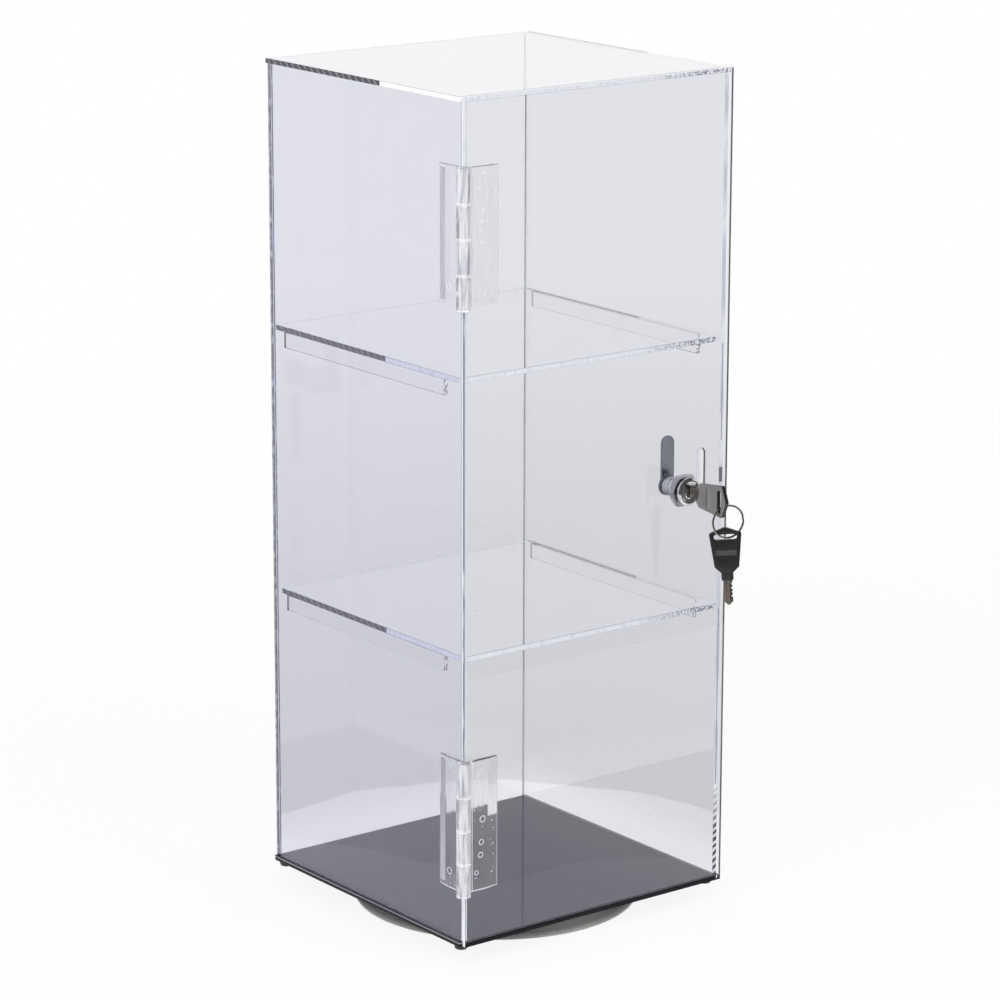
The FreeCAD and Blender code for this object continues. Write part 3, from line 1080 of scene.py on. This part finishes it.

# a key's head: broad faces, the recess in one of them, and the rest
# the key in the lock wears the lit copies, which are painted light
lit_copy_head = (key_lit_copy, label_lit_copy, key_plastic)
spare_head = (key_plastic, key_label, key_plastic)
recess_area = 12.3 * 3.4 * MM**2
for node_name, material, slot, body, width in (
    ("lock_nut", zinc, "lock_zinc", "door", 0.2),
    ("lock_plug", chrome, "lock_chrome", "lock", 0.12),
    ("lock_cam", cam_zinc, "lock_zinc", "lock", 0.18),
    ("cam_screw", zinc, "lock_zinc", "lock", 0.15),
    ("inserted_key_head", lit_copy_head, "key_plastic", "lock", 0.22),
    ("inserted_key_blade", steel, "key_steel", "lock", 0.08),
    ("spare_key_head", spare_head, "key_plastic", "spare_key", 0.22),
    ("spare_key_blade", steel, "key_steel", "spare_key", 0.08),
):
    bm = cad_copy(node_name)
    if slot == "key_plastic":
        for face in bm.faces:
            recess = abs(face.calc_area() / recess_area - 1) < 0.02
            face.material_index = 1 if recess else 0 if abs(face.normal.x) > 0.5 else 2
    bevel(bm, width * MM, 25)
    add_piece(node_name + "_form", bm, body, material, [node_name], 24)


# Split ring: one flat wire in two coils, with a step where it passes from one to the other

ring_middle = middle_of("key_ring")
ring_turn = math.radians(16.5)
across = Vector((math.cos(ring_turn), -math.sin(ring_turn), 0))
upright = Vector((0, 0, 1))
through = across.cross(upright)
ring_radius = 9.6 * MM
wire_half, coil_half = 0.54 * MM, 0.255 * MM
coils_apart = 0.55
wire_from, wire_until, wire_step = 18, 711, 3  # degrees along the wire
crossing_from, crossing_length = 354, 15
section = [
    (-1, -0.6),
    (-0.75, -1),
    (0.75, -1),
    (1, -0.6),
    (1, 0.6),
    (0.75, 1),
    (-0.75, 1),
    (-1, 0.6),
]
bm = bmesh.new()
rings = []
for angle in range(wire_from, wire_until + 1, wire_step):
    share = min(max((angle - crossing_from) / crossing_length, 0), 1)
    smooth = share * share * (3 - 2 * share)
    offset = (coils_apart / 2 - coils_apart * smooth) * MM
    turn = math.radians(angle)
    out = across * math.cos(turn) + upright * math.sin(turn)
    ring = []
    for radial, axial in section:
        outward = out * (ring_radius + radial * wire_half)
        point = ring_middle + outward + through * (offset + axial * coil_half)
        ring.append(bm.verts.new(point))
    rings.append(ring)
for one, two in zip(rings, rings[1:]):
    for i in range(len(section)):
        j = (i + 1) % len(section)
        bm.faces.new((one[i], one[j], two[j], two[i]))
bm.faces.new(rings[0])
bm.faces.new(rings[-1][::-1])
add_piece("key_ring_wire", bm, "key_ring", ring_metal, ["key_ring"], 50)


# Turntable and bumpers, from outlines of radius and height in millimetres

on_floor = Matrix.Identity(4)
dish = rounded([(5, 1), (82, 1), (86, 1), (86, 2.4), (84.2, 3.5), (62, 5.6), (5, 5.6)], 1.1, 5)
bm = lathe(in_mm(dish), on_floor, 160, closed=True)
dish_node = "turntable_lower_plate"
add_piece("turntable_dish", bm, "turntable_base", dish_paint, [dish_node], 40)

pad = rounded([(0, 0), (68, 0), (68, 0.98), (0, 0.98)], 0.35, 3)
bm = lathe(in_mm(pad), on_floor, 96)
add_piece("foot_pad_disc", bm, "turntable_base", rubber, ["foot_pad"], 40)

low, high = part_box("corner_bumpers")
bumper_radius = 4.25
dome = rounded([(0, 0), (3.7, 0), (bumper_radius, 2.98), (0, 2.98)], 1.2, 5)
bm = bmesh.new()
for x in (low.x + bumper_radius * MM, high.x - bumper_radius * MM):
    for y in (low.y + bumper_radius * MM, high.y - bumper_radius * MM):
        join(bm, lathe(in_mm(dome), Matrix.Translation((x, y, low.z)), 40))
add_piece("corner_bumper_domes", bm, "case", bumper_rubber, ["corner_bumpers"], 40)

# CAD solids that stay as they are, with a material of their own
for node_name, material in (
    ("turntable_upper_plate", dish_paint),
    ("pivot_pin", pivot_steel),
    ("glide_pads", nylon),
    ("mounting_tape", tape),
):
    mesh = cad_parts[node_name].data
    mesh.materials.clear()
    mesh.materials.append(material)


# Floor: white to the camera, and a plain level for the light and the mirrored views

floor_material = new_material("floor")
path = node(floor_material, "LightPath").outputs
place = node(floor_material, "TexCoord").outputs["Object"]
away = length_of(floor_material, place)
near = spread(floor_material, away, 0.35, 1.5, 0.88, 1.0)
mirrored = either(floor_material, path["Is Glossy Ray"], path["Is Transmission Ray"])
seen = either(floor_material, path["Is Camera Ray"], mirrored)
share = maths(floor_material, "MULTIPLY", seen, near)
# in the mirrored views the floor is white near the case, grey past that, and white far off
waver = maths(floor_material, "MULTIPLY", noise(floor_material, place, 9, 2), 0.06)
wavering = maths(floor_material, "ADD", away, waver)
white_near = spread(floor_material, wavering, 0.235, 0.248, 1.0, 0.0)
white_far = spread(floor_material, away, 0.3, 1.9, 0.80, 1.0)
falloff = either(floor_material, white_far, white_near)
strength = either(floor_material, path["Is Camera Ray"], falloff)
lit = node(floor_material, "BsdfDiffuse", Color=(0.85, 0.85, 0.85), Roughness=0.5)
glow = node(floor_material, "Emission", Color=(1, 1, 1), Strength=strength)
output(floor_material, mix(floor_material, share, lit.outputs[0], glow.outputs[0]))

bm = bmesh.new()
corners = [(-3, -0.55, 0), (3, -0.55, 0), (3, 5, 0), (-3, 5, 0)]
bm.faces.new([bm.verts.new(corner) for corner in corners])
mesh = bpy.data.meshes.new("floor")
bm.to_mesh(mesh)
bm.free()
floor = bpy.data.objects.new("floor", mesh)
mesh.materials.append(floor_material)
scene.collection.objects.link(floor)
floor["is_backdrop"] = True


# World: soft light for the surfaces, white to the camera, and a studio in the reflections

world = bpy.data.worlds.new("studio")
scene.world = world
world.use_nodes = True
world.node_tree.nodes.clear()
path = node(world, "LightPath").outputs
direction = node(world, "TexCoord").outputs["Generated"]
_, backward, upward = parts_of(world, direction)
dark_ceiling = spread(world, upward, 0.4, 0.6, 1.0, 0.08)
dark_by_camera = spread(world, backward, -0.35, 0.05, 0.10, 1.0)
room = maths(world, "MINIMUM", dark_ceiling, dark_by_camera)
soft = node(world, "Background", Color=(0.97, 0.98, 1.0), Strength=0.55).outputs[0]
white = node(world, "Background", Color=(1, 1, 1), Strength=1.0).outputs[0]
studio = node(world, "Background", Color=(1, 1, 1), Strength=room).outputs[0]
straight = either(world, path["Is Camera Ray"], path["Is Transmission Ray"])
reflected = mix(world, path["Is Glossy Ray"], soft, studio)
node(world, "OutputWorld", Surface=mix(world, straight, reflected, white))


# Lamps and camera


def lamp(name, place, size, power):
    """A square of soft light, aimed at the case. Its shape doesn't show in the clear sheets."""
    data = bpy.data.lights.new(name, "AREA")
    data.shape = "SQUARE"
    data.size = size
    data.energy = power
    made = bpy.data.objects.new(name, data)
    scene.collection.objects.link(made)
    made.location = place
    aim = Vector((0, 0, 0.25)) - Vector(place)
    made.rotation_mode = "QUATERNION"
    made.rotation_quaternion = aim.to_track_quat("-Z", "Y")
    made.visible_glossy = False
    made.visible_transmission = False


lamp("key_lamp", (-1.5, -1.1, 1.7), 1.1, 15)
lamp("front_lamp", (0.5, -2.1, 0.8), 1.1, 16)
lamp("left_lamp", (-2.0, -0.6, 0.75), 1.0, 13)
lamp("back_lamp", (0.3, 1.6, 1.7), 1.2, 9)

# the camera was fitted to the corners of the case in the photograph
camera_data = bpy.data.cameras.new("camera")
camera_data.sensor_width = 36
camera_data.lens = 142.28
camera_data.shift_x = 0.00032
camera_data.shift_y = -0.01222
camera = bpy.data.objects.new("camera", camera_data)
scene.collection.objects.link(camera)
stands_at = Matrix.Translation((-1.38485, -1.80636, 0.83349))
turned = Matrix.Rotation(math.radians(-37.519), 4, "Z")
pitched = Matrix.Rotation(math.radians(90 - 14.282), 4, "X")
rolled = Matrix.Rotation(math.radians(0.141), 4, "Z")
camera.matrix_world = stands_at @ turned @ pitched @ rolled
scene.camera = camera

scene.view_settings.view_transform = "Standard"

low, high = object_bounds()
